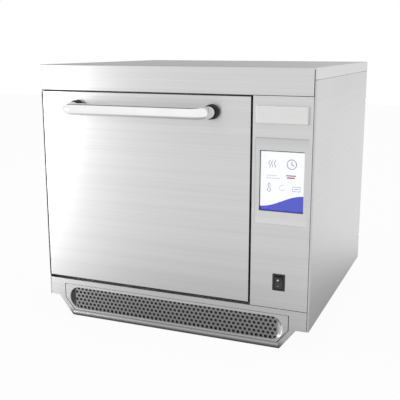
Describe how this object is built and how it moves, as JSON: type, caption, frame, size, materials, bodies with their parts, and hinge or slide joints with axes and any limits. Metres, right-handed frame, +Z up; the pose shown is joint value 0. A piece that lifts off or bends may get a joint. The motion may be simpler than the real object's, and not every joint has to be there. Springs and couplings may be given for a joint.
{
  "type": "countertop speed oven",
  "caption": "Countertop speed oven with a drop-down door on a tubular handle, a touch-screen control panel at its right and a perforated air intake under the door.",
  "frame": {"origin": "middle of the floor print of the whole oven with its handle, level with the undersides of the feet", "axes": "+X to the right as seen from the front, +Y from the door towards the rear, +Z up"},
  "size_m": [0.598, 0.622, 0.557],
  "materials": {
    "casing_steel": "brushed",
    "chassis_steel": "satin",
    "cavity_steel": "satin",
    "handle_chrome": "polished",
    "cover_plastic": "satin",
    "black_plastic": "satin",
    "black_rubber": "matt",
    "seal_rubber": "matt",
    "screen_glass": "polished",
    "display": "lit",
    "insulation_wool": "matt",
    "oven_ceramic": "satin",
    "cook_plate_coating": "matt",
    "heater_metal": "matt",
    "magnet_metal": "satin",
    "copper_wire": "satin",
    "core_steel": "matt",
    "capacitor_can": "satin",
    "magnetron_metal": "satin",
    "waveguide_metal": "satin",
    "mesh_metal": "woven",
    "motor_paint": "satin",
    "board_laminate": "satin",
    "screw_steel": "bright"
  },
  "bodies": {
    "chassis": {"left_side_panel": "casing_steel", "right_side_panel": "casing_steel", "top_cover": "casing_steel", "rear_panel": "chassis_steel", "base_plate": "chassis_steel", "feet": "black_rubber", "bulkhead": "chassis_steel", "front_frame": "chassis_steel", "control_panel": "casing_steel", "screen_gasket": "black_rubber", "touch_glass": "screen_glass", "screen_module": "display", "data_socket": "screw_steel", "switch_housing": "black_plastic", "lower_front_panel": "casing_steel", "filter_magnets": "magnet_metal", "hinge_arms": "chassis_steel", "cavity": "cavity_steel", "ceramic_floor": "oven_ceramic", "cook_plate": "cook_plate_coating", "rear_baffle": "cavity_steel", "heater_element": "heater_metal", "fan_motor": "motor_paint", "motor_standoffs": "screw_steel", "steam_outlet": "cavity_steel", "cavity_insulation": "insulation_wool", "interlock_brackets": "chassis_steel", "interlock_switches": "black_plastic", "waveguide": "waveguide_metal", "magnetron": "magnetron_metal", "stirrer_motor": "motor_paint", "transformer_core": "core_steel", "transformer_windings": "copper_wire", "capacitor": "capacitor_can", "cooling_fan_frames": "black_plastic", "board_standoffs": "screw_steel", "control_board": "board_laminate", "relay_board": "board_laminate", "mains_filter": "capacitor_can", "terminal_block": "black_plastic", "strain_relief": "black_plastic", "casing_screws": "screw_steel"},
    "door": {"door_outer_skin": "casing_steel", "door_inner_panel": "cavity_steel", "door_seal": "seal_rubber", "door_insulation": "insulation_wool", "door_hinge_blocks": "chassis_steel", "hinge_pins": "screw_steel", "handle_bar": "handle_chrome", "handle_bushes": "black_plastic", "handle_screws": "screw_steel"},
    "air_filter": {"air_filter_frame": "casing_steel", "air_filter_mesh": "mesh_metal"},
    "cover_plate": {"socket_cover": "cover_plastic"},
    "rocker": {"power_rocker": "black_plastic"},
    "fan": {"convection_fan": "cavity_steel"},
    "stirrer_rotor": {"stirrer": "waveguide_metal"},
    "left_cooling_rotor": {"left_rotor": "black_plastic"},
    "right_cooling_rotor": {"right_rotor": "black_plastic"},
    "plungers": {"interlock_plungers": "screw_steel"}
  },
  "joints": [
    {"name": "door_hinge", "type": "hinge", "parent": "chassis", "child": "door", "pos_m": [-0.0606, -0.2365, 0.0975], "axis": [1, 0, 0], "range_deg": [0, 90]},
    {"name": "plunger_slide", "type": "slide", "parent": "chassis", "child": "plungers", "axis": [0, -1, 0], "range_m": [0, 0.003]},
    {"name": "rocker_tilt", "type": "hinge", "parent": "chassis", "child": "rocker", "pos_m": [0.2363, -0.2434, 0.1409], "axis": [-1, 0, 0], "range_deg": [0, 16]},
    {"name": "cover_pull", "type": "slide", "parent": "chassis", "child": "cover_plate", "axis": [0, -1, 0], "range_m": [0, 0.025]},
    {"name": "filter_pull", "type": "slide", "parent": "chassis", "child": "air_filter", "axis": [0, -1, 0], "range_m": [0, 0.04]},
    {"name": "fan_spin", "type": "hinge", "parent": "chassis", "child": "fan", "pos_m": [-0.0606, 0.16, 0.2975], "axis": [0, 1, 0], "continuous": true},
    {"name": "stirrer_spin", "type": "hinge", "parent": "chassis", "child": "stirrer_rotor", "pos_m": [-0.0606, -0.046, 0.193], "axis": [0, 0, 1], "continuous": true},
    {"name": "left_rotor_spin", "type": "hinge", "parent": "chassis", "child": "left_cooling_rotor", "pos_m": [-0.1695, 0.285, 0.121], "axis": [0, 1, 0], "continuous": true},
    {"name": "right_rotor_spin", "type": "hinge", "parent": "chassis", "child": "right_cooling_rotor", "pos_m": [0.0105, 0.285, 0.121], "axis": [0, 1, 0], "continuous": true}
  ],
  "couplings": [
    {"joint": "plunger_slide", "follows": "door_hinge", "m_per_rad": 0.0019098}
  ]
}
